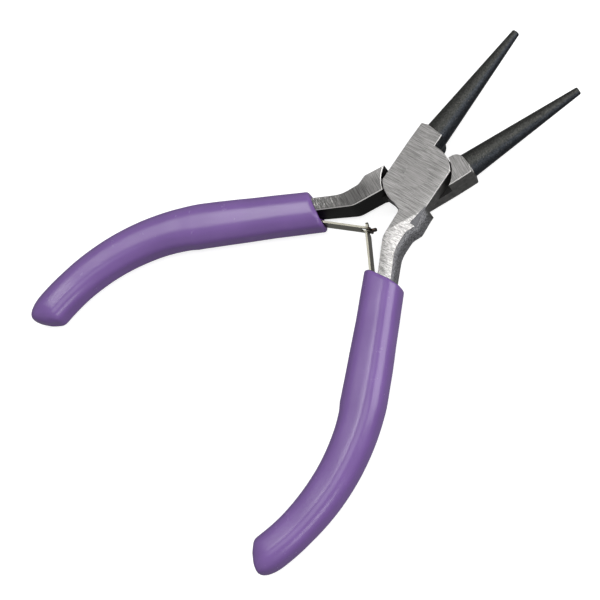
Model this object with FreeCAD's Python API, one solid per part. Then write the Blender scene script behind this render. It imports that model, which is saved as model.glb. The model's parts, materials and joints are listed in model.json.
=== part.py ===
import FreeCAD, Part
import math
import os

# Round nose pliers with a lap joint, sleeved handles and a double leaf return spring.
# Millimetres. Z is the pivot axis and points up, Y runs along the tool towards the jaw tips,
# and the origin is on the pivot axis, on the lower ground face of the joint. The rest pose is open.
#
# Each half is drawn closed (jaws along +Y) about the middle of the joint, turned by half the
# opening angle, and lifted at the end. Half A has its lap plate on top, its jaw on -X and its
# handle on +X. Half B is half A turned 180 degrees about Y.

V = FreeCAD.Vector
Z_AXIS = V(0, 0, 1)
Y_AXIS = V(0, 1, 0)

# Joint
OPENING = 28.0                # degrees between the closed and the rest pose
THICK = 6.6                   # joint thickness
LAP_PLAY = 0.06               # running gap between the two lap plates
LAP_RADIUS = 7.55             # rounded corners of a lap plate
SHOULDER_RADIUS = 7.85        # hollow shoulders that the other plate turns inside
JAW_SIDE = 6.1                # pivot axis to the jaw-side edge
HANDLE_SIDE = 6.1             # pivot axis to the handle-side edge
EDGE_BREAK = 0.15             # chamfer on the ground faces

# Jaws
JAW_GAP = 0.05                # jaw face to the closing plane
BLOCK_INNER = 0.25            # jaw block's inner wall to the closing plane
BLOCK_SHARP = 0.25            # inner front corner of the block on the lap plate's side
BLOCK_ROUND = 2.2             # and on the other side
BLOCK_TOP = 10.95             # highest point of the jaw block's shoulder
TIP_Y = 38.9
BASE_RADIUS = 2.8
TIP_RADIUS = 0.85
CONE_FOOT = 8.1               # the cone starts inside the block, here
TIP_BREAK = 0.2

# Handle line: a straight stretch leaning out from -Y, then an arc that turns back in
LEAN = 26.0
LINE_START = V(6.2, -22.5, 0)
STRAIGHT = 26.0
BEND_RADIUS = 48.0
BEND_TURN = 52.5              # degrees turned by the arc
SHANK_INNER = -0.95           # shank faces, measured across the handle line
SHANK_OUTER = 2.05

# Tang, the part of the handle inside the sleeve
TANG_HALF_HEIGHT = 2.7
TANG_INNER = -2.9
TANG_OUTER = 2.9
TANG_TURN = 41.0              # degrees of the bend that the tang reaches

# Facet ground on the lap-plate side of the shank
FACET_DIP = 6.0               # degrees
FACET_FROM = V(6.1, -5.6, 0)
FACET_TO = V(1.6, -13.4, 0)
SIDE_FACET_START = -4.0       # the narrow facet along the outer edge starts here, in Y
SIDE_FACET_END = -9.7
SIDE_FACET_WIDTH = 1.2
SIDE_FACET_DROP = 1.2

# Pivot rivet, ground flush on both faces
RIVET_RADIUS = 2.5
RIVET_TOP_RADIUS = 2.7
RIVET_FOOT_RADIUS = 3.2
RIVET_TOP_DEPTH = 0.5
RIVET_FOOT_DEPTH = 1.0
RIVET_PLAY = 0.03

# Sleeves: distance along the handle line, inner half width, outer half width, half height
SLEEVE_STATIONS = [
    (-5.0, 4.35, 4.2, 4.1),
    (0.0, 4.3, 4.25, 4.15),
    (10.0, 4.35, 4.45, 4.2),
    (21.0, 4.7, 4.65, 4.25),
    (26.0, 4.85, 4.65, 4.25),
    (28.3, 4.9, 4.6, 4.25),
    (31.0, 4.55, 4.5, 4.2),
    (38.0, 4.3, 4.3, 4.15),
    (48.0, 4.1, 4.1, 4.0),
    (58.0, 3.9, 3.9, 3.85),
]
MOUTH_CORNER = V(10.6, -21.9, 0)
MOUTH_LEAN = 7.0              # degrees, the mouth's turn about its outer corner
LIP_RADIUS = 0.4
DOME_LENGTH = 5.0
DOME_BLUNTNESS = 0.75         # 1 is round, less is blunter
DOME_STEPS = 7
SQUARENESS = 2.5              # exponent of the sleeve's section, 2 is an ellipse

# Return spring
LEAF_WIDTH = 3.2
LEAF_THICK = 0.45
LEAF_BEND_AT = 5.5            # bend, measured along the handle line
LEAF_SPLAY = 15.0             # degrees between the free leaf and the shank
LEAF_ROOT = 7.0               # length held against the shank
CROSSING = 17.2               # bend to the point where the two leaves cross
TONGUE_WIDTH = 1.3
TONGUE_FROM = -0.95           # measured from the crossing
TONGUE_TO = 1.7
WINDOW_HEIGHT = 1.9
WINDOW_FROM = -1.5
WINDOW_TO = 0.6 
WINDOW_BAR = 0.4              # end bar beyond the window
LIP_WIDTH = 1.1
LIP_LENGTH = 1.1
LIP_DROP = 24.0               # degrees
SPRING_RIVET_AT = 9.6         # along the handle line
SPRING_RIVET_RADIUS = 0.6
SPRING_RIVET_HEAD = 1.1
SPRING_RIVET_HEAD_THICK = 0.45
SPRING_RIVET_DEPTH = 1.6
POCKET_HALF_HEIGHT = 1.8

HALF_THICK = THICK / 2
HALF_OPENING = OPENING / 2
REACH = 100.0                 # larger than any part, for cutting blocks


def rounded_outline(corners):
    """Closed wire through (x, y, radius) corners, each rounded by its radius."""
    points = [V(x, y, 0) for x, y, radius in corners]
    edges = []
    starts = []
    ends = []
    mids = []
    for i, (x, y, radius) in enumerate(corners):
        here = points[i]
        back = (points[i - 1] - here).normalize()
        ahead = (points[(i + 1) % len(points)] - here).normalize()
        half_angle = back.getAngle(ahead) / 2
        trim = radius / math.tan(half_angle)
        middle = (back + ahead).normalize() * (radius / math.sin(half_angle) - radius)
        starts.append(here + back * trim)
        ends.append(here + ahead * trim)
        mids.append(here + middle)
    for i, (x, y, radius) in enumerate(corners):
        if radius > 0:
            edges.append(Part.Arc(starts[i], mids[i], ends[i]).toShape())
        following = starts[(i + 1) % len(corners)]
        if (following - ends[i]).Length > 1e-4:
            edges.append(Part.LineSegment(ends[i], following).toShape())
    return Part.Wire(edges)


def slab(corners, bottom, top):
    """Prism between two heights from an outline of (x, y, radius) corners."""
    face = Part.Face(rounded_outline(corners))
    face.translate(V(0, 0, bottom))
    return face.extrude(V(0, 0, top - bottom))


def broken_edges(solid, height):
    """The solid with a small chamfer on every edge that lies at the given height."""
    at_height = []
    for edge in solid.Edges:
        if all(abs(vertex.Z - height) < 1e-4 for vertex in edge.Vertexes):
            at_height.append(edge)
    return solid.makeChamfer(EDGE_BREAK, at_height)


def handle_point(along, across, up=0.0):
    """Point of the closed tool, measured along and across the straight handle line."""
    lean = math.radians(LEAN)
    direction = V(math.sin(lean), -math.cos(lean), 0)
    outward = V(math.cos(lean), math.sin(lean), 0)
    return LINE_START + direction * along + outward * across + V(0, 0, up)


def handle_corner(along, across, radius=0.0):
    point = handle_point(along, across)
    return (point.x, point.y, radius)


def bend_centre():
    return handle_point(STRAIGHT, -BEND_RADIUS)


def bend_point(angle, across):
    """Point at an angle round the bend, 0 where the bend starts."""
    direction = math.radians(LEAN - angle)
    reach = BEND_RADIUS + across
    return bend_centre() + V(math.cos(direction), math.sin(direction), 0) * reach


def pivot_cylinder(radius, bottom, top):
    return Part.makeCylinder(radius, top - bottom, V(0, 0, bottom))


def jaw_block(bottom, top, corner_radius):
    corners = [
        (-JAW_SIDE, 0, 0),
        (-JAW_SIDE, 5.8, 0),
        (-JAW_SIDE + 0.15, 10.6, 0.35),
        (-4.4, BLOCK_TOP, 1.2),
        (-BLOCK_INNER - 0.05, 10.4, corner_radius),
        (-BLOCK_INNER, 0, 0),
    ]
    return slab(corners, bottom, top)


def shank(bottom, top):
    corners = [
        (1.25, -4.0, 0),
        (1.25, -9.0, 0),
        (1.5, -15.0, 4),
        handle_corner(6.0, SHANK_INNER),
        handle_corner(6.0, SHANK_OUTER),
        (5.35, -16.1, 7),
        (5.3, -11.8, 2.2),
        (HANDLE_SIDE + 0.25, -9.7, 1.0),
        (HANDLE_SIDE, -6.0, 0),
        (HANDLE_SIDE, -4.0, 0),
    ]
    return slab(corners, bottom, top)


def lap_plate(bottom, top):
    plate = Part.makeBox(JAW_SIDE + HANDLE_SIDE, 20, top - bottom, V(-JAW_SIDE, -10, bottom))
    plate = plate.common(pivot_cylinder(LAP_RADIUS, bottom, top))
    web = slab([(-0.9, -6.0, 0), (-0.9, -7.45, 0), (1.0, -8.25, 0.3), (1.25, -9.0, 0), (1.25, -6.0, 0)],
               bottom, top)
    return plate.fuse(web)


def tang():
    """The widened end of the handle that fills the sleeve."""
    bottom = -TANG_HALF_HEIGHT
    straight = slab([
        handle_corner(4.0, SHANK_INNER),
        handle_corner(14.0, SHANK_INNER, 3),
        handle_corner(18.0, TANG_INNER, 3),
        handle_corner(STRAIGHT, TANG_INNER),
        handle_corner(STRAIGHT, TANG_OUTER),
        handle_corner(9.0, TANG_OUTER, 3),
        handle_corner(4.0, SHANK_OUTER),
    ], bottom, TANG_HALF_HEIGHT)
    outer_arc = Part.Arc(bend_point(0, TANG_OUTER), bend_point(TANG_TURN / 2, TANG_OUTER),
                         bend_point(TANG_TURN, TANG_OUTER))
    tip_arc = Part.Arc(bend_point(TANG_TURN, TANG_OUTER), bend_point(TANG_TURN + 3, 0),
                       bend_point(TANG_TURN, TANG_INNER))
    inner_arc = Part.Arc(bend_point(TANG_TURN, TANG_INNER), bend_point(TANG_TURN / 2, TANG_INNER),
                         bend_point(0, TANG_INNER))
    start = Part.LineSegment(bend_point(0, TANG_INNER), bend_point(0, TANG_OUTER))
    wire = Part.Wire([outer_arc.toShape(), tip_arc.toShape(), inner_arc.toShape(), start.toShape()])
    bend = Part.Face(wire)
    bend.translate(V(0, 0, bottom))
    return straight.fuse(bend.extrude(V(0, 0, 2 * TANG_HALF_HEIGHT)))


def above_plane(point, across, downhill):
    """Large block on the upper side of the plane through a point and two directions."""
    normal = across.cross(downhill).normalize()
    if normal.z < 0:
        normal = normal * -1
    block = Part.makeBox(REACH, REACH, REACH, V(-REACH / 2, -REACH / 2, 0))
    block.Placement = FreeCAD.Placement(point, FreeCAD.Rotation(Z_AXIS, normal))
    return block


def ground_facets():
    """What the grinding wheel takes off the upper side of the shank."""
    start = V(FACET_FROM.x, FACET_FROM.y, HALF_THICK)
    along = (FACET_TO - FACET_FROM).normalize()
    away = V(-along.y, along.x, 0)
    dip = math.radians(FACET_DIP)
    broad = above_plane(start, along, away * math.cos(dip) - Z_AXIS * math.sin(dip))

    corner = V(HANDLE_SIDE, SIDE_FACET_START, HALF_THICK)
    low = V(HANDLE_SIDE, SIDE_FACET_END, HALF_THICK - SIDE_FACET_DROP)
    inner = V(HANDLE_SIDE - SIDE_FACET_WIDTH, SIDE_FACET_END, HALF_THICK)
    length = SIDE_FACET_START - SIDE_FACET_END
    beside_plate = Part.makeBox(HANDLE_SIDE * 2, length, THICK, V(0, SIDE_FACET_END, 0))
    narrow = above_plane(corner, low - corner, inner - corner).common(beside_plate)
    below_joint = Part.makeBox(REACH, REACH, REACH, V(-REACH / 2, SIDE_FACET_START - REACH, -REACH / 2))
    return broad.common(below_joint).fuse(narrow)


def jaw_cone():
    """Round jaw whose inner line lies along the closing plane."""
    slope = (BASE_RADIUS - TIP_RADIUS) / (TIP_Y - BLOCK_TOP)
    foot_radius = BASE_RADIUS + slope * (BLOCK_TOP - CONE_FOOT)
    foot = V(-JAW_GAP - foot_radius, CONE_FOOT, 0)
    tip = V(-JAW_GAP - TIP_RADIUS, TIP_Y, 0)
    axis = tip - foot
    cone = Part.makeCone(foot_radius, TIP_RADIUS, axis.Length, foot, axis)
    rim = [edge for edge in cone.Edges if edge.CenterOfMass.sub(tip).Length < 0.1]
    return cone.makeChamfer(TIP_BREAK, rim)


def pivot_rivet():
    bottom = -HALF_THICK
    top = HALF_THICK
    body = pivot_cylinder(RIVET_RADIUS, bottom, top)
    head = Part.makeCone(RIVET_RADIUS, RIVET_TOP_RADIUS, RIVET_TOP_DEPTH, V(0, 0, top - RIVET_TOP_DEPTH))
    foot = Part.makeCone(RIVET_FOOT_RADIUS, RIVET_RADIUS, RIVET_FOOT_DEPTH, V(0, 0, bottom))
    return body.fuse([head, foot]).removeSplitter()


def rivet_hole_fixed():
    """Hole that the rivet is peened tight in, in half A's plate."""
    top = HALF_THICK
    hole = pivot_cylinder(RIVET_RADIUS, 0, top)
    head = Part.makeCone(RIVET_RADIUS, RIVET_TOP_RADIUS, RIVET_TOP_DEPTH, V(0, 0, top - RIVET_TOP_DEPTH))
    return hole.fuse(head)


def rivet_hole_running():
    """Countersunk hole that half B's plate turns on, drawn as the rivet grown by its play."""
    bottom = -HALF_THICK
    hole = pivot_cylinder(RIVET_RADIUS + RIVET_PLAY, bottom, 0)
    foot = Part.makeCone(RIVET_FOOT_RADIUS + RIVET_PLAY, RIVET_RADIUS + RIVET_PLAY,
                         RIVET_FOOT_DEPTH + RIVET_PLAY, V(0, 0, bottom))
    return hole.fuse(foot)


def spring_rivet():
    """Small rivet through the leaf's root into the shank."""
    across = SHANK_INNER - LEAF_THICK
    outward = (handle_point(0, 1) - handle_point(0, 0)).normalize()
    head = Part.makeCylinder(SPRING_RIVET_HEAD, SPRING_RIVET_HEAD_THICK,
                             handle_point(SPRING_RIVET_AT, across), outward * -1)
    stem = Part.makeCylinder(SPRING_RIVET_RADIUS, SPRING_RIVET_DEPTH + LEAF_THICK,
                             handle_point(SPRING_RIVET_AT, across), outward)
    rim = [edge for edge in head.Edges
           if edge.CenterOfMass.sub(handle_point(SPRING_RIVET_AT, across - SPRING_RIVET_HEAD_THICK)).Length
           < 0.01]
    return head.makeFillet(0.2, rim).fuse(stem).removeSplitter()


def half_blank():
    """One forged half, closed, with its lap plate on top."""
    joint_top = LAP_PLAY / 2
    upper = lap_plate(joint_top, HALF_THICK)
    block = jaw_block(joint_top, HALF_THICK, BLOCK_SHARP)
    upper = upper.fuse([block, shank(joint_top, HALF_THICK)]).removeSplitter()
    upper = broken_edges(upper, HALF_THICK)
    block = jaw_block(-HALF_THICK, joint_top, BLOCK_ROUND)
    lower = block.fuse(shank(-HALF_THICK, joint_top))
    lower = lower.cut(pivot_cylinder(SHOULDER_RADIUS, -HALF_THICK, joint_top))
    lower = broken_edges(lower, -HALF_THICK)
    metal = upper.fuse(lower).cut(ground_facets())
    return metal.fuse([jaw_cone(), tang()]).removeSplitter().cut(spring_rivet())


def sleeve_station(along):
    """Centre, outward direction and half sizes of the sleeve at a distance along the handle line."""
    stations = SLEEVE_STATIONS
    sizes = stations[-1][1:]
    for before, after in zip(stations, stations[1:]):
        if before[0] <= along <= after[0]:
            share = (along - before[0]) / (after[0] - before[0])
            sizes = [a + share * (b - a) for a, b in zip(before[1:], after[1:])]
    if along <= STRAIGHT:
        centre = handle_point(along, 0)
        outward = handle_point(along, 1) - centre
    else:
        angle = math.degrees((along - STRAIGHT) / BEND_RADIUS)
        centre = bend_point(angle, 0)
        outward = bend_point(angle, 1) - centre
    return centre, outward, sizes


def sleeve_section(along, shrink=1.0):
    """Closed smooth section of the sleeve, a squarish oval."""
    centre, outward, (inner, outer, height) = sleeve_station(along)
    points = []
    for step in range(24):
        turn = math.radians(step * 15)
        cosine = math.cos(turn)
        sine = math.sin(turn)
        across = math.copysign(abs(cosine) ** (2 / SQUARENESS), cosine)
        up = math.copysign(abs(sine) ** (2 / SQUARENESS), sine)
        half_width = outer if cosine > 0 else inner
        points.append(centre + outward * (across * half_width * shrink) + Z_AXIS * (up * height * shrink))
    curve = Part.BSplineCurve()
    curve.interpolate(Points=points, PeriodicFlag=True)
    return Part.Wire(curve.toShape())


def on_mouth(point):
    """True if a point lies in the plane of the sleeve's mouth."""
    lean = math.radians(MOUTH_LEAN)
    return abs((point - MOUTH_CORNER).dot(V(-math.sin(lean), math.cos(lean), 0))) < 1e-3


def sleeve_skin():
    """Outer shape of a sleeve: the swept handle with a domed end, cut square at its mouth."""
    total = STRAIGHT + math.radians(BEND_TURN) * BEND_RADIUS
    sections = [sleeve_section(station[0]) for station in SLEEVE_STATIONS]
    dome_start = total - DOME_LENGTH
    for step in range(DOME_STEPS):
        share = step / DOME_STEPS
        along = dome_start + DOME_LENGTH * math.sin(share * math.pi / 2) ** DOME_BLUNTNESS
        sections.append(sleeve_section(along, 0.97 * math.cos(share * math.pi / 2) ** DOME_BLUNTNESS))
    skin = Part.makeLoft(sections, True)
    past_mouth = Part.makeBox(2 * REACH, REACH, REACH, V(-REACH, 0, -REACH / 2))
    past_mouth.rotate(V(0, 0, 0), Z_AXIS, MOUTH_LEAN)
    past_mouth.translate(MOUTH_CORNER)
    skin = skin.cut(past_mouth)
    mouth = [edge for edge in skin.Edges
             if all(on_mouth(point) for point in [v.Point for v in edge.Vertexes] + [edge.CenterOfMass])]
    return skin.makeFillet(LIP_RADIUS, mouth)


def spring_pocket():
    """Room inside the sleeve for the leaf's root and its swing."""
    return slab([
        handle_corner(-6.0, -3.85),
        handle_corner(0.0, -3.55),
        handle_corner(6.5, -2.2),
        handle_corner(13.5, -2.2),
        handle_corner(13.5, SHANK_INNER + 0.05),
        handle_corner(-6.0, SHANK_INNER + 0.05),
    ], -POCKET_HALF_HEIGHT, POCKET_HALF_HEIGHT)


def sleeve(metal):
    return sleeve_skin().cut(spring_pocket()).cut(metal).cut(tang())


def leaf_strip(outline_of_free_end):
    """Spring leaf: its root flat on the shank, its free length splayed inwards."""
    root = Part.makeBox(LEAF_ROOT, LEAF_THICK, LEAF_WIDTH, V(0, 0, -LEAF_WIDTH / 2))
    free = outline_of_free_end.extrude(V(0, LEAF_THICK, 0))
    free.rotate(V(0, LEAF_THICK / 2, 0), Z_AXIS, LEAF_SPLAY)
    knuckle = Part.makeCylinder(LEAF_THICK / 2, LEAF_WIDTH, V(0, LEAF_THICK / 2, -LEAF_WIDTH / 2))
    strip = root.fuse([free, knuckle]).removeSplitter()
    return strip


def leaf_face(corners):
    """Face in the leaf's own plane from (distance from the bend, height, radius) corners."""
    face = Part.Face(rounded_outline([(-along, height, radius) for along, height, radius in corners]))
    face.rotate(V(0, 0, 0), V(1, 0, 0), 90)
    return face


def tongue_end():
    half = LEAF_WIDTH / 2
    tongue = TONGUE_WIDTH / 2
    shoulder = CROSSING + TONGUE_FROM
    tip = CROSSING + TONGUE_TO
    return leaf_face([
        (0, -half, 0), (0, half, 0),
        (shoulder, half, 0.3), (shoulder + 0.25, tongue, 0.2), (tip, tongue, tongue * 0.95),
        (tip, -tongue, tongue * 0.95), (shoulder + 0.25, -tongue, 0.2), (shoulder, -half, 0.3),
    ])


def window_end():
    half = LEAF_WIDTH / 2
    opening = WINDOW_HEIGHT / 2
    end = CROSSING + WINDOW_TO + WINDOW_BAR
    blank = leaf_face([(0, -half, 0), (0, half, 0), (end, half, 0.35), (end, -half, 0.35)])
    window = leaf_face([
        (CROSSING + WINDOW_FROM, -opening, 0.3), (CROSSING + WINDOW_FROM, opening, 0.3),
        (CROSSING + WINDOW_TO, opening, 0.2), (CROSSING + WINDOW_TO, -opening, 0.2),
    ])
    return blank.cut(window)


def window_lip():
    """Narrow lip beyond the window, bent a little towards the handles."""
    half = LIP_WIDTH / 2
    face = leaf_face([(-0.1, -half, 0), (-0.1, half, 0), (LIP_LENGTH, half, 0.4), (LIP_LENGTH, -half, 0.4)])
    lip = face.extrude(V(0, LEAF_THICK, 0))
    lip.rotate(V(0, LEAF_THICK / 2, 0), Z_AXIS, -LIP_DROP)
    lip.translate(V(-(CROSSING + WINDOW_TO + WINDOW_BAR), 0, 0))
    lip.rotate(V(0, LEAF_THICK / 2, 0), Z_AXIS, LEAF_SPLAY)
    return lip


def seat_leaf(leaf):
    """Turn a leaf drawn along X into place against the closed shank of half A."""
    leaf.rotate(V(0, 0, 0), Z_AXIS, LEAN - 90)
    leaf.translate(handle_point(LEAF_BEND_AT, SHANK_INNER - LEAF_THICK))
    return leaf.cut(spring_rivet())


def open_half_a(shape):
    turned = shape.copy()
    turned.rotate(V(0, 0, 0), Z_AXIS, HALF_OPENING)
    return turned


def open_half_b(shape):
    turned = shape.copy()
    turned.rotate(V(0, 0, 0), Y_AXIS, 180)
    turned.rotate(V(0, 0, 0), Z_AXIS, -HALF_OPENING)
    return turned


def build():
    blank = half_blank()
    cover = sleeve(blank)
    leaf_with_tongue = seat_leaf(leaf_strip(tongue_end()))
    leaf_with_window = seat_leaf(leaf_strip(window_end()).fuse(window_lip()).removeSplitter())
    fixed_hole = rivet_hole_fixed()
    running_hole = rivet_hole_running()
    return {
        "half_a": open_half_a(blank).cut(fixed_hole),
        "half_b": open_half_b(blank).cut(running_hole),
        "pivot_rivet": pivot_rivet(),
        "grip_a": open_half_a(cover),
        "grip_b": open_half_b(cover),
        "spring_leaf_a": open_half_a(leaf_with_tongue),
        "spring_leaf_b": open_half_b(leaf_with_window),
        "spring_rivet_a": open_half_a(spring_rivet()),
        "spring_rivet_b": open_half_b(spring_rivet()),
    }


os.makedirs("parts", exist_ok=True)
for name, shape in build().items():
    shape.translate(V(0, 0, HALF_THICK))
    shape.exportStep("parts/" + name + ".step")
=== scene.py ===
import json
import math

import bmesh
import bpy
from mathutils import Matrix, Vector, noise


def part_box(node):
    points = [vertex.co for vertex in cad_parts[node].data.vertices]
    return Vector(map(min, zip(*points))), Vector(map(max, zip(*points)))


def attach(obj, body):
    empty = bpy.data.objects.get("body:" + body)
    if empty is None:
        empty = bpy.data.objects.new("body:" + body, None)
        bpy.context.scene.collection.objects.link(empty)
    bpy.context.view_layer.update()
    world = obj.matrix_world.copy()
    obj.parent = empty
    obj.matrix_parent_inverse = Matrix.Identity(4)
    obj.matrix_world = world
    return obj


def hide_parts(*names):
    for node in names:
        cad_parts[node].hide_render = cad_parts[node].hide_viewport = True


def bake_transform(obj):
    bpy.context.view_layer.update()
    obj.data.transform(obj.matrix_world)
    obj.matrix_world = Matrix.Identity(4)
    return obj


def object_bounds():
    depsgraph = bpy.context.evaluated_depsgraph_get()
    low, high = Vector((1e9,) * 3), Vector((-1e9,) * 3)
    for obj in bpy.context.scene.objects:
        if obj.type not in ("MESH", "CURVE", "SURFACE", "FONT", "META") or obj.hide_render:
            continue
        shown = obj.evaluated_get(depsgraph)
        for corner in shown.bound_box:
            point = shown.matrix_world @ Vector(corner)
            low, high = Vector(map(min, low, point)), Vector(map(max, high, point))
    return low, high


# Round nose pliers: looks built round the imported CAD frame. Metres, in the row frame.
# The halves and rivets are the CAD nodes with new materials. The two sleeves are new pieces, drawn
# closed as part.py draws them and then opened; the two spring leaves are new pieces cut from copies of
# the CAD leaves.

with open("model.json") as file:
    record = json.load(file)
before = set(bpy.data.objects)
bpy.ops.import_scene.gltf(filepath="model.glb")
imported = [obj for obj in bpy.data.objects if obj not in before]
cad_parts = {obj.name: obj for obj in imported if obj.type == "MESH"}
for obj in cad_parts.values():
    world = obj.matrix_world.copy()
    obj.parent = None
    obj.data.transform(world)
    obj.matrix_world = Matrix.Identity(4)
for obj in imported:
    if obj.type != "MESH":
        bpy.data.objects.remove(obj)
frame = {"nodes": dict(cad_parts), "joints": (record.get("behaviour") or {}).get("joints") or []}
cad_low, cad_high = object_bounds()

MM = 0.001
HALF_OPENING = math.radians(14)     # each half's turn between the closed and the rest pose
MIDDLE = (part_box("half_a")[0].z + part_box("half_a")[1].z) / 2

# Handle line of the closed tool, in millimetres, the same as the CAD's
LEAN = math.radians(26)
LINE_START = Vector((6.2, -22.5, 0))
STRAIGHT = 26.0
BEND_RADIUS = 48.0
BEND_TURN = math.radians(52.5)
HANDLE_LENGTH = STRAIGHT + BEND_RADIUS * BEND_TURN

# Sleeves, in millimetres
STATIONS = [                        # along the handle, inner and outer half width, half height
    (-5.0, 4.35, 4.2, 4.1), (0.0, 4.3, 4.25, 4.15), (10.0, 4.35, 4.45, 4.2),
    (21.0, 4.7, 4.65, 4.25), (26.0, 4.85, 4.65, 4.25), (28.3, 4.9, 4.6, 4.25),
    (30.5, 4.6, 4.5, 4.2), (34.0, 4.4, 4.4, 4.2), (38.0, 4.3, 4.3, 4.15),
    (48.0, 4.1, 4.1, 4.0), (58.0, 3.9, 3.9, 3.85), (75.0, 3.9, 3.9, 3.85),
]
MOUTH_Y = -21.9
MOUTH_LEAN = math.radians(7)        # the mouth's turn, about its outer corner
MOUTH_CORNER_X = 10.6
LIP_RADIUS = 0.8
FLAT_SLOPE = math.radians(5.0)      # of the sleeve's two broad flats
DOME_LENGTH = 4.6
DOME_BLUNTNESS = 0.72               # 1 is round, less is blunter
MOUTH_HOLE = [                      # shank and spring pocket, across the handle and up
    (2.1, 3.35), (-1.0, 3.35), (-1.0, 1.8), (-3.7, 1.8),
    (-3.7, -1.8), (-1.0, -1.8), (-1.0, -3.35), (2.1, -3.35),
]
POCKET_DEPTH = 13.0
END_TRIM = {1: 0.9, -1: 0.2}        # by side, how far a blunt end stops short of the handle line
END_LEAN = math.radians(21)         # the blunt ends lean, with the outer side longer
AROUND = 112                        # points in a ring
RING_STEP = 0.6                     # between the skin's rings
SQUARE_AFTER = 16.0                 # from here on the rings stand square to the handle
LIP_RINGS = 8
DOME_RINGS = 15
UNEVENNESS = 0.05

# Spring leaves
CROSSING = (0.0, -0.0153)           # where they cross, in metres
LEAF_CUTS = 30                      # steps that a leaf is cut into, from its hinge to the crossing
TINT_FROM = 1.9 * MM                # the tinted lip, measured back from the tip
TINT_FADE = 0.3 * MM


# Node materials

class Nodes:
    """A material under construction, with short names for the nodes it uses most."""

    def __init__(self, name):
        self.material = bpy.data.materials.new(name)
        self.material.use_nodes = True
        self.tree = self.material.node_tree
        self.shader = self.tree.nodes["Principled BSDF"]

    def add(self, kind, inputs=None, **settings):
        node = self.tree.nodes.new(kind)
        for key, value in settings.items():
            setattr(node, key, value)
        for key, value in (inputs or {}).items():
            self.set(node.inputs[key], value)
        return node

    def set(self, socket, value):
        if isinstance(value, bpy.types.NodeSocket):
            self.tree.links.new(value, socket)
        else:
            socket.default_value = value

    def math(self, operation, a, b=0.0):
        return self.add("ShaderNodeMath", {0: a, 1: b}, operation=operation).outputs[0]

    def times(self, *values):
        result = values[0]
        for value in values[1:]:
            result = self.math("MULTIPLY", result, value)
        return result

    def inverse(self, value):
        return self.math("SUBTRACT", 1.0, value)

    def ramp(self, value, low, high):
        """0 below low, 1 above high, smooth between."""
        node = self.add("ShaderNodeMapRange", {"Value": value, "From Min": low, "From Max": high},
                        interpolation_type="SMOOTHSTEP")
        return node.outputs["Result"]

    def spread(self, value, low, high):
        """A value from 0 to 1 spread over low to high."""
        node = self.add("ShaderNodeMapRange", {"Value": value, "To Min": low, "To Max": high})
        return node.outputs["Result"]

    def mix(self, share, a, b):
        node = self.add("ShaderNodeMix", data_type="RGBA")
        for socket, value in ((node.inputs[0], share), (node.inputs[6], a), (node.inputs[7], b)):
            self.set(socket, value)
        return node.outputs[2]

    def mix_number(self, share, a, b):
        node = self.add("ShaderNodeMix", data_type="FLOAT")
        for socket, value in ((node.inputs[0], share), (node.inputs[2], a), (node.inputs[3], b)):
            self.set(socket, value)
        return node.outputs[0]

    def shade(self, colour, factor):
        """A colour made lighter or darker by a number."""
        colour = colour if isinstance(colour, bpy.types.NodeSocket) else colour[:3]
        node = self.add("ShaderNodeVectorMath", {0: colour, 3: factor}, operation="SCALE")
        return node.outputs[0]

    def noise(self, vector, scale, stretch=(1, 1, 1), detail=3.0, roughness=0.55):
        """Noise with a feature size of about 1 / scale, stretched by unequal scales on the axes."""
        scaled = self.add("ShaderNodeVectorMath", {0: vector, 1: stretch}, operation="MULTIPLY")
        node = self.add("ShaderNodeTexNoise", {
            "Vector": scaled.outputs[0], "Scale": scale, "Detail": detail, "Roughness": roughness})
        return node.outputs["Fac"]

    def bump(self, height, distance, strength):
        node = self.add("ShaderNodeBump", {"Height": height, "Distance": distance, "Strength": strength})
        return node.outputs["Normal"]

    def closed_frame(self, output, turn, scale, drop):
        """Object coordinates or normals turned back to the closed tool's frame."""
        coordinates = self.add("ShaderNodeTexCoord")
        node = self.add("ShaderNodeMapping", {
            "Vector": coordinates.outputs[output], "Scale": (scale,) * 3,
            "Rotation": (0, 0, -turn), "Location": (0, 0, -drop)})
        return node.outputs["Vector"]

    def split(self, vector):
        node = self.add("ShaderNodeSeparateXYZ", {0: vector})
        return node.outputs[0], node.outputs[1], node.outputs[2]

    def finish(self, colour, roughness, normal=None, **values):
        """Wire up the shader. Its other inputs go by name, with _ for a space."""
        self.set(self.shader.inputs["Base Color"], colour)
        self.set(self.shader.inputs["Roughness"], roughness)
        if normal is not None:
            self.set(self.shader.inputs["Normal"], normal)
        for key, value in values.items():
            self.shader.inputs[key.replace("_", " ")].default_value = value
        return self.material


def grey(value, warm=0.0):
    """Linear grey, a little warmer or cooler."""
    return (value * (1 + warm), value, value * (1 - warm), 1)


FLAT_GREY = grey(0.240, 0.02)
GROUND_GREY = grey(0.30, 0.02)
# broken edges: rubbed steel, made brighter still as a painted highlight
EDGE_WEAR_AND_HIGHLIGHT = grey(0.60, 0.02)
SATIN_GREY = (0.62, 0.62, 0.655, 1)
FORGED_GREY = grey(0.20, 0.02)
SHADED_BLACK = grey(0.012, 0.03)
# painted shade: near black for the lap plate's inner face, in the slit between the halves
LAP_SHADE_GREY = grey(0.035, 0.02)
OXIDE_BLACK = (0.053, 0.054, 0.051, 1)
# painted shade: a darker, bluish black for the jaw's right-facing faces
OXIDE_SHADE_BLUE = (0.043, 0.048, 0.056, 1)
OXIDE_SPECKLE = grey(0.14, 0.10)
VINYL_DARK = (0.154, 0.081, 0.270, 1)
VINYL_LIGHT = (0.172, 0.091, 0.298, 1)
VINYL_SCUFF = (0.30, 0.20, 0.42, 1)
NICKEL_FACE = (0.33, 0.32, 0.27, 1)
NICKEL_EDGE = (0.30, 0.29, 0.24, 1)
BURNT_DARK = (0.016, 0.013, 0.011, 1)
BURNT_BROWN = (0.085, 0.060, 0.048, 1)
FLOOR_GREY = (0.55, 0.55, 0.55, 1)


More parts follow.
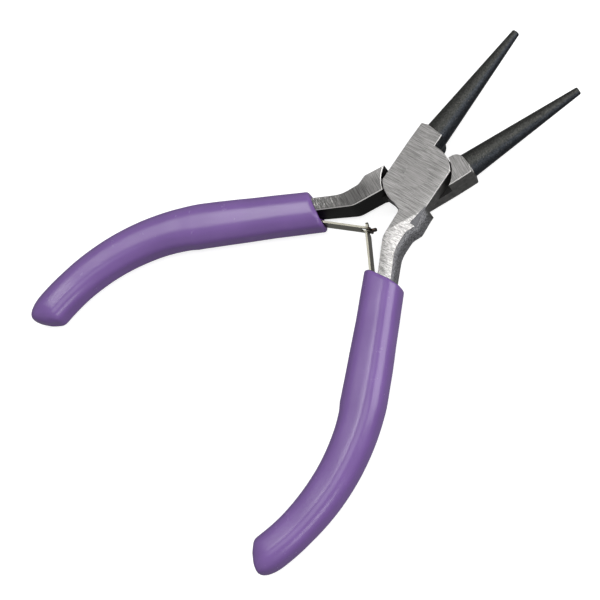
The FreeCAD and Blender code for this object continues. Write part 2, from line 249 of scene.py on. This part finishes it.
class HalfSurface:
    """Where a point of one half lies, in the closed half A's own frame and in millimetres, with masks
    of the parts that have their own finish or painted shade, and the noises that the finishes share.
    side is 1 for half A and -1 for half B, which is the same shape turned over about Y."""

    def __init__(self, n, side):
        self.place = n.closed_frame("Object", side * HALF_OPENING, 1 / MM, MIDDLE / MM)
        facing = n.closed_frame("Normal", side * HALF_OPENING, 1.0, 0.0)
        x, self.y, z = n.split(self.place)
        self.raw_nx, _, nz = n.split(facing)
        self.x = n.times(x, side)
        self.z = n.times(z, side)
        self.down = n.times(self.y, -1.0)
        self.mask_flats(n, n.math("ABSOLUTE", nz), n.math("ABSOLUTE", self.z))
        self.lap_side = n.ramp(n.times(nz, side), -0.1, 0.1)
        self.mask_shank(n, n.times(self.raw_nx, side))
        self.add_noises(n)

    def mask_flats(self, n, up, level):
        """Outer flats, the lap plate's inner face, broken edges, and the jaw with its foot."""
        level_face = n.ramp(up, 0.90, 0.96)
        outside = n.ramp(level, 0.5, 0.6)
        self.flat = n.times(level_face, outside)
        self.lap_face = n.times(level_face, n.inverse(outside))
        self.edge = n.times(n.ramp(up, 0.35, 0.5), n.inverse(level_face), n.ramp(level, 1.0, 1.2))
        foot = n.times(n.inverse(n.ramp(level, 3.02, 3.12)), n.ramp(self.y, 7.0, 7.3),
                       n.ramp(self.x, -4.2, -3.6))
        self.jaw = n.math("MAXIMUM", n.ramp(self.y, 10.9, 11.0), foot)

    def mask_shank(self, n, nx):
        """The hand-ground facet, the narrow facet beside the plate, and the shank's two walls."""
        past_line = n.math("SUBTRACT", n.times(self.x, 0.866), n.times(n.math("ADD", self.y, 16.16), 0.5))
        self.ground = n.times(n.ramp(past_line, -0.25, 0.25), n.ramp(self.down, 4.5, 5.5), self.lap_side)
        self.side_facet = n.times(self.lap_side, n.ramp(self.x, 4.2, 4.8), n.ramp(self.down, 4.5, 5.0))
        below = n.ramp(self.down, 5.0, 6.5)
        self.outer = n.times(below, n.ramp(nx, 0.25, 0.6))
        self.inner = n.times(below, n.ramp(n.times(nx, -1.0), 0.0, 0.4))

    def add_noises(self, n):
        fine = n.noise(self.place, 1.0, (0.50, 13.0, 1.4), 3.0, 0.65)
        coarse = n.noise(self.place, 1.0, (0.25, 5.5, 0.8), 3.0)
        self.brushed = n.math("ADD", n.times(fine, 0.55), n.times(coarse, 0.45))
        self.strokes = n.noise(self.place, 1.0, (0.9, 3.6, 1.0), 5.0, 0.72)
        self.grain = n.noise(self.place, 7.0, detail=4.0, roughness=0.7)
        self.flecks = n.noise(self.place, 2.4, detail=3.0, roughness=0.75)
        self.patches = n.noise(self.place, 0.8, detail=3.0)


def top_finish(n, at):
    """Brushed flats, lighter at the rim, with the hand-ground facet on the lap plate's side. On the
    other side the shank darkens towards the sleeve, with a worn patch at the end."""
    lines = n.spread(n.ramp(at.brushed, 0.28, 0.72), 0.38, 1.62)
    cloud = n.spread(n.noise(at.place, 0.22, detail=2.0), 0.85, 1.15)
    rim = n.spread(n.ramp(at.x, 3.6, 6.1), 0.97, 1.22)
    flat = n.shade(n.shade(FLAT_GREY, lines), n.times(cloud, rim))

    strokes = n.spread(n.ramp(at.strokes, 0.34, 0.68), 0.55, 1.75)
    across = n.math("ADD", n.times(n.math("SUBTRACT", at.x, LINE_START.x), math.cos(LEAN)),
                    n.times(n.math("SUBTRACT", at.y, LINE_START.y), math.sin(LEAN)))
    ridge = n.spread(n.ramp(across, -1.2, 2.2), 0.62, 1.35)
    ground = n.shade(GROUND_GREY, n.times(strokes, ridge))

    shank = n.shade(flat, n.spread(n.ramp(at.down, 4.0, 14.0), 0.95, 0.36))
    worn = n.times(n.ramp(at.down, 15.0, 21.0), n.ramp(at.strokes, 0.50, 0.66), 0.85)
    shank = n.mix(worn, shank, ground)
    return n.mix(at.lap_side, shank, n.mix(at.ground, flat, ground))


def side_finish_and_shade(n, at):
    """Forged walls, satin outside the shank, painted shade near black on the walls inside it, and painted
    shade near black on the lap plate's inner face between the halves.
    """
    forged = n.shade(FORGED_GREY, n.spread(n.times(at.grain, at.patches), 0.3, 2.6))
    flecks = n.spread(n.ramp(at.flecks, 0.30, 0.70), 0.35, 1.75)
    wall_top = n.spread(n.ramp(at.z, -0.8, 2.0), 0.50, 1.2)
    satin = n.shade(SATIN_GREY, n.times(flecks, wall_top))
    # painted shade: the walls inside the shank, facing the other handle, are near black
    walls = n.mix(at.inner, n.mix(at.outer, forged, satin), SHADED_BLACK)
    # painted shade on the lap plate's inner face
    return n.mix(at.lap_face, walls, LAP_SHADE_GREY)


def edge_finish_and_highlight(n, at):
    """Broken edges, painted bright as rubbed steel with a painted highlight, and the narrow facet beside
    the plate.
    """
    # painted highlight on the broken edges, over their rubbed brightness
    bright = n.shade(EDGE_WEAR_AND_HIGHLIGHT, n.spread(at.grain, 0.5, 1.35))
    return n.mix(at.side_facet, bright, n.shade(SATIN_GREY, n.spread(at.strokes, 0.10, 0.42)))


def oxide_finish_and_shade(n, at):
    """The black jaw, with painted shade, darker and bluish, on its right-facing side, and a few bright
    specks.
    """
    # painted shade: faces turned to the right get the darker bluish black
    black = n.mix(n.ramp(at.raw_nx, 0.35, 0.75), OXIDE_BLACK, OXIDE_SHADE_BLUE)
    flecks = n.spread(n.ramp(at.flecks, 0.25, 0.75), 0.62, 1.42)
    oxide = n.shade(black, n.times(n.spread(at.patches, 0.7, 1.3), flecks))
    speckle = n.ramp(n.noise(at.place, 2.9, detail=2.0, roughness=0.6), 0.60, 0.72)
    return n.mix(n.times(speckle, 0.5), oxide, OXIDE_SPECKLE)


def half_steel(name, side):
    """One half of the tool, with a finish of its own on each part of it, and painted shade and painted
    highlights on some parts.
    """
    n = Nodes(name)
    at = HalfSurface(n, side)
    steel = n.mix(at.edge, n.mix(at.flat, side_finish_and_shade(n, at), top_finish(n, at)), edge_finish_and_highlight(n, at))
    colour = n.mix(at.jaw, steel, oxide_finish_and_shade(n, at))

    rough = n.mix_number(at.ground, n.spread(at.brushed, 0.36, 0.50), n.spread(at.strokes, 0.30, 0.46))
    rough = n.mix_number(at.flat, n.spread(at.grain, 0.38, 0.55), rough)
    rough = n.mix_number(at.jaw, rough, n.spread(at.grain, 0.42, 0.56))

    height = n.mix_number(at.ground, n.times(at.brushed, 0.5), at.strokes)
    height = n.mix_number(at.flat, n.times(at.grain, 0.6), height)
    height = n.mix_number(at.jaw, height, n.times(at.grain, 0.5))
    return n.finish(colour, rough, n.bump(height, 0.000035, 0.8), Metallic=1.0)


def rivet_steel():
    """Small rivets inside the sleeves and the flush pivot rivet."""
    n = Nodes("rivet_steel")
    place = n.closed_frame("Object", HALF_OPENING, 1 / MM, MIDDLE / MM)
    lines = n.noise(place, 1.0, (0.35, 5.0, 1.0), 4.0, 0.6)
    cloud = n.noise(place, 0.22, detail=2.0)
    colour = n.shade(n.shade(FLAT_GREY, n.spread(n.ramp(lines, 0.25, 0.75), 0.72, 1.28)),
                     n.spread(cloud, 0.85, 1.15))
    return n.finish(colour, n.spread(lines, 0.36, 0.50), n.bump(lines, 0.00002, 0.8), Metallic=1.0)


def vinyl():
    """Soft purple vinyl: glossy, a little uneven, with faint scuffs."""
    n = Nodes("purple_vinyl")
    place = n.closed_frame("Object", 0.0, 1 / MM, 0.0)
    cloud = n.noise(place, 0.09, detail=2.0)
    scuffs = n.ramp(n.noise(place, 0.5, detail=5.0, roughness=0.7), 0.45, 0.85)
    colour = n.mix(n.ramp(cloud, 0.3, 0.7), VINYL_DARK, VINYL_LIGHT)
    colour = n.mix(n.times(scuffs, 0.04), colour, VINYL_SCUFF)
    peel = n.noise(place, 1.6, detail=2.0)
    rough = n.math("ADD", n.spread(cloud, 0.23, 0.28), n.times(scuffs, 0.03))
    return n.finish(colour, rough, n.bump(peel, 0.00001, 0.3), Specular_IOR_Level=0.48)


def nickel():
    """Bright nickel plate on the spring leaves, with a heat-tinted lip where "tint" is 1."""
    n = Nodes("nickel_plate")
    place = n.closed_frame("Object", 0.0, 1 / MM, 0.0)
    facing = n.closed_frame("Normal", 0.0, 1.0, 0.0)
    nz = n.math("ABSOLUTE", n.split(facing)[2])
    top = n.ramp(nz, 0.5, 0.8)
    rolled = n.noise(place, 1.0, (1.5, 1.5, 9.0), 3.0)
    face = n.shade(NICKEL_FACE, n.spread(rolled, 0.7, 1.3))
    bright = n.shade(NICKEL_EDGE, n.spread(rolled, 0.75, 1.2))
    tint = n.add("ShaderNodeAttribute", attribute_name="tint").outputs["Fac"]
    burnt = n.mix(n.ramp(rolled, 0.4, 0.65), BURNT_DARK, BURNT_BROWN)
    colour = n.mix(tint, n.mix(top, face, bright), burnt)
    return n.finish(colour, n.spread(rolled, 0.30, 0.44), n.bump(rolled, 0.00001, 0.6), Metallic=1.0)


def floor_white():
    n = Nodes("pale_floor")
    return n.finish(FLOOR_GREY, 0.9, Specular_IOR_Level=0.1,
                    Emission_Color=(1, 1, 1, 1), Emission_Strength=0.72)


# Geometry

def smooth(x):
    x = min(1.0, max(0.0, x))
    return x * x * (3 - 2 * x)


def open_half(side):
    """Millimetres in the closed half A's frame to metres in the row frame. side -1 is half B."""
    turn_over = Matrix.Identity(4) if side > 0 else Matrix.Rotation(math.pi, 4, "Y")
    return (Matrix.Translation((0, 0, MIDDLE)) @ Matrix.Rotation(side * HALF_OPENING, 4, "Z")
            @ turn_over @ Matrix.Scale(MM, 4))


def handle_frame(along):
    """Centre and outward direction of the handle line at a distance along it."""
    outward = Vector((math.cos(LEAN), math.sin(LEAN), 0))
    direction = Vector((math.sin(LEAN), -math.cos(LEAN), 0))
    if along <= STRAIGHT:
        return LINE_START + direction * along, outward
    centre = LINE_START + direction * STRAIGHT - outward * BEND_RADIUS
    turn = LEAN - (along - STRAIGHT) / BEND_RADIUS
    outward = Vector((math.cos(turn), math.sin(turn), 0))
    return centre + outward * BEND_RADIUS, outward


def station(along):
    """Inner and outer half width and half height of the sleeve, eased between the stations."""
    for before, after in zip(STATIONS, STATIONS[1:]):
        if along <= after[0]:
            share = max(0.0, (along - before[0]) / (after[0] - before[0]))
            return [a + share * (b - a) for a, b in zip(before[1:], after[1:])]
    return STATIONS[-1][1:]


def sleeve_radius(angle, inner, outer, height):
    """Radius of a squarish section with eight soft flats. The broad flats slope to the inner side."""
    turned = angle - FLAT_SLOPE * math.sin(angle)
    cosine, sine = math.cos(turned), math.sin(turned)
    width = outer if cosine > 0 else inner
    flats = [(abs(cosine), width), (abs(sine), height)]
    diagonal = 0.548 * (width + height)
    flats.append(((abs(cosine) + abs(sine)) * math.sqrt(0.5), diagonal))
    power = 13.0
    total = sum((reach / size) ** power for reach, size in flats)
    return total ** (-1 / power)


def hole_radius(angle):
    """Distance from the handle line to the outline of the mouth's hole, on a ray at an angle."""
    ray = Vector((math.cos(angle), math.sin(angle)))
    reach = []
    for a, b in zip(MOUTH_HOLE, MOUTH_HOLE[1:] + MOUTH_HOLE[:1]):
        a, b = Vector(a), Vector(b)
        span = b - a
        cross = ray.x * span.y - ray.y * span.x
        if abs(cross) > 1e-9:
            distance = (a.x * span.y - a.y * span.x) / cross
            share = (a.x * ray.y - a.y * ray.x) / cross
            if distance > 0 and -1e-6 <= share <= 1 + 1e-6:
                reach.append(distance)
    return min(reach)


def sleeve_ring(along_at, radius_at):
    """One ring of points. along_at and radius_at give the station and the radius for each angle."""
    ring = []
    for step in range(AROUND):
        angle = 2 * math.pi * step / AROUND
        along = along_at(angle)
        radius = radius_at(angle, along)
        centre, outward = handle_frame(along)
        rise = Vector((0, 0, radius * math.sin(angle)))
        ring.append(centre + outward * (radius * math.cos(angle)) + rise)
    return ring


def sleeve_mesh(name, side):
    """Sleeve of one handle: swept skin, rounded mouth, domed end and the hole for the shank."""
    def outer_radius(angle, along, shrink=1.0):
        radius = sleeve_radius(angle, *station(along)) * shrink
        place = Vector((along * 0.16, math.cos(angle) * 0.7, math.sin(angle) * 0.7 + side * 5))
        return radius + UNEVENNESS * noise.noise(place)

    def mouth_along(across, depth):
        """Distance along the handle where a line at this width meets the mouth's plane, plus depth."""
        slope = math.tan(MOUTH_LEAN)
        offset = LINE_START.y - MOUTH_Y + slope * (MOUTH_CORNER_X - LINE_START.x)
        rise = across * (math.sin(LEAN) - slope * math.cos(LEAN))
        return (offset + rise) / (math.cos(LEAN) + slope * math.sin(LEAN)) + depth

    def skin_along(angle, depth):
        return mouth_along(sleeve_radius(angle, *station(0.0)) * math.cos(angle), depth)

    def hole_along(angle, depth):
        return mouth_along(hole_radius(angle) * math.cos(angle), depth)

    rings = []
    # the hole, from its closed end to the mouth
    rings.append(sleeve_ring(lambda a: POCKET_DEPTH, lambda a, s: hole_radius(a) * 0.2))
    rings.append(sleeve_ring(lambda a: POCKET_DEPTH, lambda a, s: hole_radius(a)))
    for depth in (4.0, 1.0, 0.25):
        rings.append(sleeve_ring(lambda a, d=depth: hole_along(a, d), lambda a, s: hole_radius(a)))
    rings.append(sleeve_ring(lambda a: hole_along(a, 0.03), lambda a, s: hole_radius(a) + 0.08))
    # the rounded lip
    for step in range(LIP_RINGS):
        turn = math.pi / 2 * step / (LIP_RINGS - 1)
        rings.append(sleeve_ring(
            lambda a, d=LIP_RADIUS * (1 - math.cos(turn)): skin_along(a, d),
            lambda a, s, r=LIP_RADIUS * (1 - math.sin(turn)): outer_radius(a, s) - r))
    # the skin: rings follow the slanted mouth first and stand square to the handle later
    along = LIP_RADIUS + 0.5
    end = HANDLE_LENGTH - END_TRIM[side] - DOME_LENGTH
    while along < end - RING_STEP / 2:
        square = smooth(along / SQUARE_AFTER)
        rings.append(sleeve_ring(
            lambda a, s=along, q=square: (1 - q) * skin_along(a, s) + q * s,
            lambda a, s: outer_radius(a, s)))
        along += RING_STEP
    # the blunt, leaning end
    for step in range(DOME_RINGS):
        share = step / (DOME_RINGS - 1)
        place = end + DOME_LENGTH * math.sin(share * math.pi / 2) ** DOME_BLUNTNESS
        shrink = max(0.01, math.cos(share * math.pi / 2)) ** DOME_BLUNTNESS
        lean = math.tan(END_LEAN) * smooth(1.5 * share) * shrink * STATIONS[-1][1]
        rings.append(sleeve_ring(lambda a, s=place, r=lean: s + r * math.cos(a),
                                 lambda a, s, k=shrink: outer_radius(a, s, k)))

    to_row = open_half(side)
    mesh = bpy.data.meshes.new(name)
    points = [to_row @ p for ring in rings for p in ring]
    faces = []
    for r in range(len(rings) - 1):
        for i in range(AROUND):
            j = (i + 1) % AROUND
            faces.append((r * AROUND + i, r * AROUND + j, (r + 1) * AROUND + j, (r + 1) * AROUND + i))
    last = (len(rings) - 1) * AROUND
    faces.append(tuple(range(last, last + AROUND)))
    faces.append(tuple(reversed(range(AROUND))))
    mesh.from_pydata([tuple(p) for p in points], [], faces)
    mesh.update()
    edit = bmesh.new()
    edit.from_mesh(mesh)
    bmesh.ops.recalc_face_normals(edit, faces=edit.faces)
    edit.to_mesh(mesh)
    edit.free()
    for polygon in mesh.polygons:
        polygon.use_smooth = True
    return mesh


def link(name, mesh, material):
    piece = bpy.data.objects.new(name, mesh)
    bpy.context.scene.collection.objects.link(piece)
    piece.data.materials.clear()
    piece.data.materials.append(material)
    return piece


def make_sleeve(name, side, body, node, material):
    piece = link(name, sleeve_mesh(name, side), material)
    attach(piece, body)
    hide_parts(node)
    return piece


def make_leaf(name, node, joint, side, material):
    """A copy of a spring leaf, cut across many times between its hinge and the crossing."""
    source = frame["nodes"][node].data
    mesh = bpy.data.meshes.new(name)
    hinge = Vector(next(j["pos_m"] for j in frame["joints"] if j["name"] == joint))
    crossing = Vector((*CROSSING, hinge.z))
    free = crossing - hinge
    edit = bmesh.new()
    edit.from_mesh(source)
    bmesh.ops.remove_doubles(edit, verts=edit.verts, dist=1e-6)
    for step in range(1, LEAF_CUTS):
        cut = hinge + free * (step / LEAF_CUTS)
        bmesh.ops.bisect_plane(edit, geom=edit.verts[:] + edit.edges[:] + edit.faces[:],
                               dist=1e-7, plane_co=cut, plane_no=free.normalized())
    bmesh.ops.recalc_face_normals(edit, faces=edit.faces)
    edit.to_mesh(mesh)
    edit.free()
    tip = max((v.co - hinge).dot(free.normalized()) for v in mesh.vertices)
    tint = mesh.attributes.new("tint", "FLOAT", "POINT")
    for i, vertex in enumerate(mesh.vertices):
        reach = (vertex.co - hinge).dot(free.normalized())
        tint.data[i].value = smooth((reach - tip + TINT_FROM) / TINT_FADE) if side < 0 else 0.0
    piece = link(name, mesh, material)
    for polygon in mesh.polygons:
        polygon.use_smooth = False
    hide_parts(node)
    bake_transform(piece)
    return piece


def dress(node, material):
    """Give a carried-over CAD node its material."""
    piece = frame["nodes"][node]
    piece.data.materials.clear()
    piece.data.materials.append(material)


# Stage, lights and camera

CAMERA_AT = Vector((0.25416, -0.03701, 0.50488))
CAMERA_TURN = (math.radians(20.214), math.radians(17.938), math.radians(49.932))
CAMERA_LENS = 157.2
WORLD_LIGHT = 0.52                  # from above
WORLD_DARK = 0.22                   # from below
FLOOR_HALF = 4.0
FLOOR_DROP = 0.00005
SOFT_LIGHTS = [                     # name, tilt and turn in degrees, distance, size, watts
    ("overhead", 14, 110, 0.80, (0.56, 0.56), 2.3),
    ("key", 49, 137, 0.60, (0.12, 0.12), 0.47),
    ("side", 55, 27, 0.70, (0.42, 0.42), 2.4),
    ("edge_light", 38, -47, 0.60, (0.20, 0.10), 0.40),
]


def make_camera():
    camera = bpy.data.objects.new("camera", bpy.data.cameras.new("camera"))
    bpy.context.scene.collection.objects.link(camera)
    camera.location = CAMERA_AT
    camera.rotation_euler = CAMERA_TURN
    camera.data.lens = CAMERA_LENS
    camera.data.clip_start = 0.01
    camera.data.clip_end = 50
    bpy.context.scene.camera = camera
    bpy.context.view_layer.update()
    return camera


def make_floor():
    z = cad_low.z - FLOOR_DROP
    corners = [(x * FLOOR_HALF, y * FLOOR_HALF, z) for x, y in ((-1, -1), (1, -1), (1, 1), (-1, 1))]
    mesh = bpy.data.meshes.new("floor")
    mesh.from_pydata(corners, [], [(0, 1, 2, 3)])
    floor = link("floor", mesh, floor_white())
    floor.visible_diffuse = False       # the object stands as if on glass, so its under sides stay dark
    floor.visible_glossy = False


def soft_light(camera, name, tilt, turn, distance, size, power):
    """A soft box, placed tilt degrees off the camera's axis and turned round it from its right."""
    axes = camera.matrix_world.to_3x3()
    right, up, back = axes.col[0], axes.col[1], axes.col[2]
    tilt, turn = math.radians(tilt), math.radians(turn)
    around = right * math.cos(turn) + up * math.sin(turn)
    direction = (back * math.cos(tilt) + around * math.sin(tilt)).normalized()
    light = bpy.data.lights.new(name, "AREA")
    light.shape = "RECTANGLE"
    light.size, light.size_y = size
    light.energy = power
    lamp = bpy.data.objects.new(name, light)
    bpy.context.scene.collection.objects.link(lamp)
    lamp.location = (cad_low + cad_high) / 2 + direction * distance
    lamp.rotation_euler = (-direction).to_track_quat("-Z", "Y").to_euler()


def make_world():
    """Soft light from all round, less of it from below."""
    world = bpy.data.worlds.new("studio")
    world.use_nodes = True
    background = world.node_tree.nodes["Background"]
    tree = world.node_tree
    coordinates = tree.nodes.new("ShaderNodeTexCoord")
    split = tree.nodes.new("ShaderNodeSeparateXYZ")
    ramp = tree.nodes.new("ShaderNodeMapRange")
    for socket, value in (("From Min", -0.25), ("From Max", 0.15),
                          ("To Min", WORLD_DARK), ("To Max", WORLD_LIGHT)):
        ramp.inputs[socket].default_value = value
    tree.links.new(coordinates.outputs["Generated"], split.inputs[0])
    tree.links.new(split.outputs[2], ramp.inputs["Value"])
    tree.links.new(ramp.outputs["Result"], background.inputs["Strength"])
    background.inputs["Color"].default_value = (1, 1, 1, 1)
    bpy.context.scene.world = world


bpy.context.scene.view_settings.view_transform = "Standard"
camera = make_camera()
make_world()
make_floor()
for light_settings in SOFT_LIGHTS:
    soft_light(camera, *light_settings)

steel_a = half_steel("steel_half_a", 1)
steel_b = half_steel("steel_half_b", -1)
small_steel = rivet_steel()
dress("half_a", steel_a)
dress("half_b", steel_b)
for rivet in ("pivot_rivet", "spring_rivet_a", "spring_rivet_b"):
    dress(rivet, small_steel)

sleeve_vinyl = vinyl()
make_sleeve("sleeve_a", 1, "upper_half", "grip_a", sleeve_vinyl)
make_sleeve("sleeve_b", -1, "lower_half", "grip_b", sleeve_vinyl)

plate = nickel()
make_leaf("leaf_a", "spring_leaf_a", "upper_leaf_flex", 1, plate)
make_leaf("leaf_b", "spring_leaf_b", "lower_leaf_flex", -1, plate)
